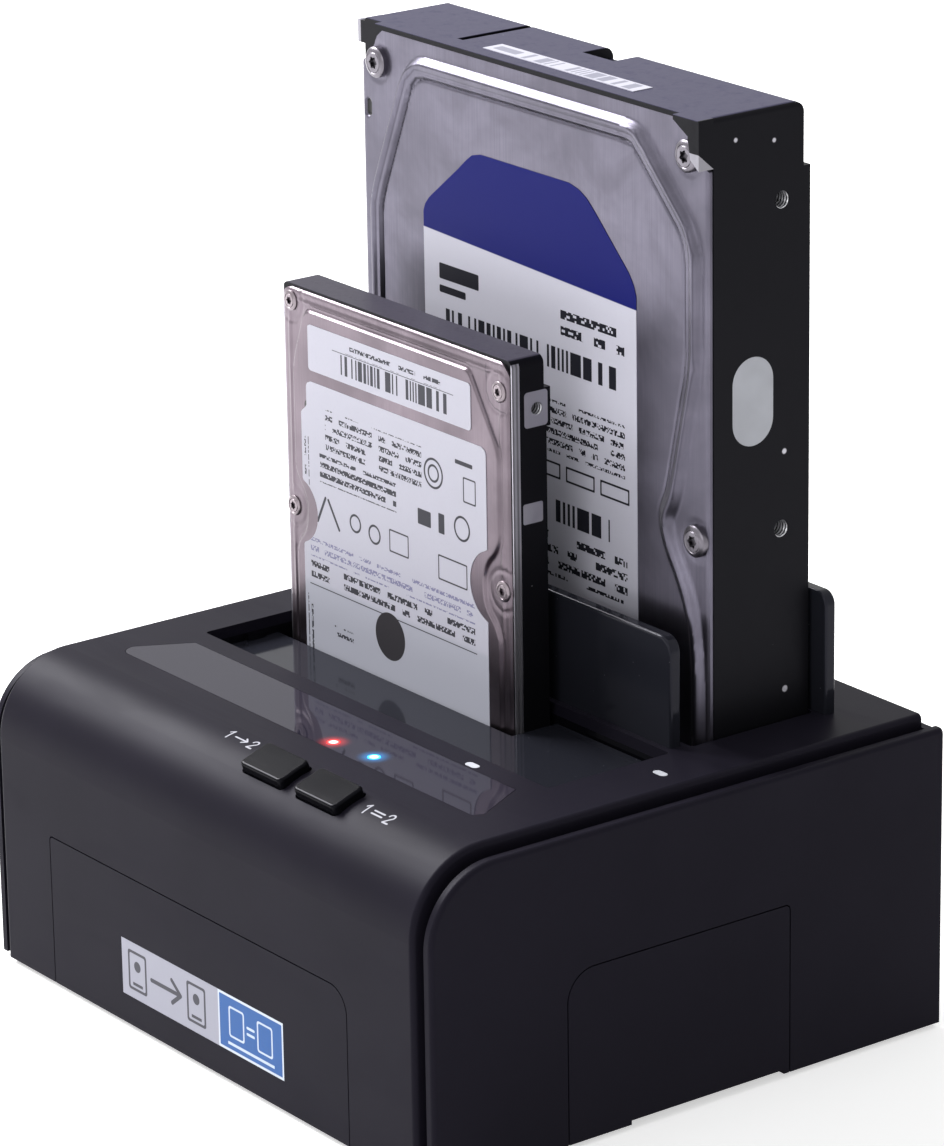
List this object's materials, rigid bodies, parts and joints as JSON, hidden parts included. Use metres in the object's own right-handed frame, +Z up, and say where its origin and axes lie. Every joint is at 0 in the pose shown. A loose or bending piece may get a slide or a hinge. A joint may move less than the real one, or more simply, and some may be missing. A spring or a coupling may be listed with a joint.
{
  "type": "drive duplicator",
  "caption": "Drive dock with open-top bays that copies a drive onto its neighbour, with a large and a small drive standing in it, keys, a status strip, bay flaps and a power rocker.",
  "frame": {"origin": "middle of the bounding box in X and Y, at the underside of the rubber feet", "axes": "+X to the right seen from the front, +Y to the rear with the keys on the -Y side, +Z up along the standing drives"},
  "size_m": [0.1376, 0.116, 0.1729],
  "materials": {
    "shell_plastic": "fine satin texture",
    "gloss_black": "polished",
    "rubber_black": "matt",
    "screw_steel": "plated",
    "black_casting": "dark coat",
    "cover_steel": "brushed",
    "small_cover_steel": "fine brushed",
    "disc_metal": "polished",
    "board_green": "solder mask",
    "connector_black": "moulded",
    "socket_steel": "plated",
    "chip_black": "moulded",
    "paper_white": "printed film",
    "front_print": "printed film",
    "seal_grey": "film",
    "lens_white": "clear",
    "led_red": "lit",
    "led_blue": "lit"
  },
  "bodies": {
    "dock": {"upper_shell": "shell_plastic", "right_side_panel": "shell_plastic", "left_side_panel": "shell_plastic", "right_blank_cover": "shell_plastic", "left_blank_cover": "shell_plastic", "rear_panel": "shell_plastic", "base_plate": "shell_plastic", "front_blank_cover": "shell_plastic", "bay_tray": "gloss_black", "front_guard_wall": "gloss_black", "rear_guard_wall": "gloss_black", "status_window": "gloss_black", "rear_bay_flap": "gloss_black", "rubber_foot_1": "rubber_black", "rubber_foot_2": "rubber_black", "rubber_foot_3": "rubber_black", "rubber_foot_4": "rubber_black", "case_screw_1": "screw_steel", "case_screw_2": "screw_steel", "case_screw_3": "screw_steel", "case_screw_4": "screw_steel", "front_flap_pin": "screw_steel", "rear_flap_pin": "screw_steel", "main_board": "board_green", "switch_board": "board_green", "front_drive_socket": "connector_black", "rear_drive_socket": "connector_black", "dc_jack": "connector_black", "rocker_frame": "connector_black", "backup_key_switch": "connector_black", "mirror_key_switch": "connector_black", "usb_socket": "socket_steel", "bridge_chip": "chip_black", "front_label": "front_print", "front_bay_indicator": "lens_white", "rear_bay_indicator": "lens_white", "red_led": "led_red", "blue_led": "led_blue"},
    "hdd": {"hdd_cover_screws": "screw_steel", "hdd_base": "black_casting", "hdd_cover": "cover_steel", "hdd_platter": "disc_metal", "hdd_spindle": "disc_metal", "hdd_board": "board_green", "hdd_plug": "connector_black", "hdd_label": "paper_white", "hdd_end_label": "paper_white", "hdd_port_seal": "seal_grey"},
    "small_drive": {"small_cover_screws": "screw_steel", "small_base": "black_casting", "small_cover": "small_cover_steel", "small_board": "board_green", "small_plug": "connector_black", "small_top_label": "paper_white", "small_main_label": "paper_white"},
    "front_flap": {"front_bay_flap": "gloss_black"},
    "backup_key": {"backup_button": "gloss_black"},
    "mirror_key": {"mirror_button": "gloss_black"},
    "power_paddle": {"power_rocker": "connector_black"}
  },
  "joints": [
    {"name": "hdd_lift", "type": "slide", "parent": "dock", "child": "hdd", "axis": [0, 0, 1], "range_m": [0, 0.065]},
    {"name": "small_drive_lift", "type": "slide", "parent": "dock", "child": "small_drive", "axis": [0, 0, 1], "range_m": [0, 0.06]},
    {"name": "front_flap_hinge", "type": "hinge", "parent": "dock", "child": "front_flap", "pos_m": [0.0014, -0.01728, 0.0553], "axis": [-1, 0, 0], "range_deg": [0, 85], "stiffness_Nm_per_rad": 0.002, "springref_deg": -34.38},
    {"name": "backup_press", "type": "slide", "parent": "dock", "child": "backup_key", "axis": [0, 0.342, -0.9397], "range_m": [0, 0.0008], "stiffness_N_per_m": 400, "springref_m": -0.001},
    {"name": "mirror_press", "type": "slide", "parent": "dock", "child": "mirror_key", "axis": [0, 0.342, -0.9397], "range_m": [0, 0.0008], "stiffness_N_per_m": 400, "springref_m": -0.001},
    {"name": "power_rock", "type": "hinge", "parent": "dock", "child": "power_paddle", "pos_m": [0.0389, 0.05592, 0.0176], "axis": [0, 0, -1], "range_deg": [0, 20]}
  ]
}
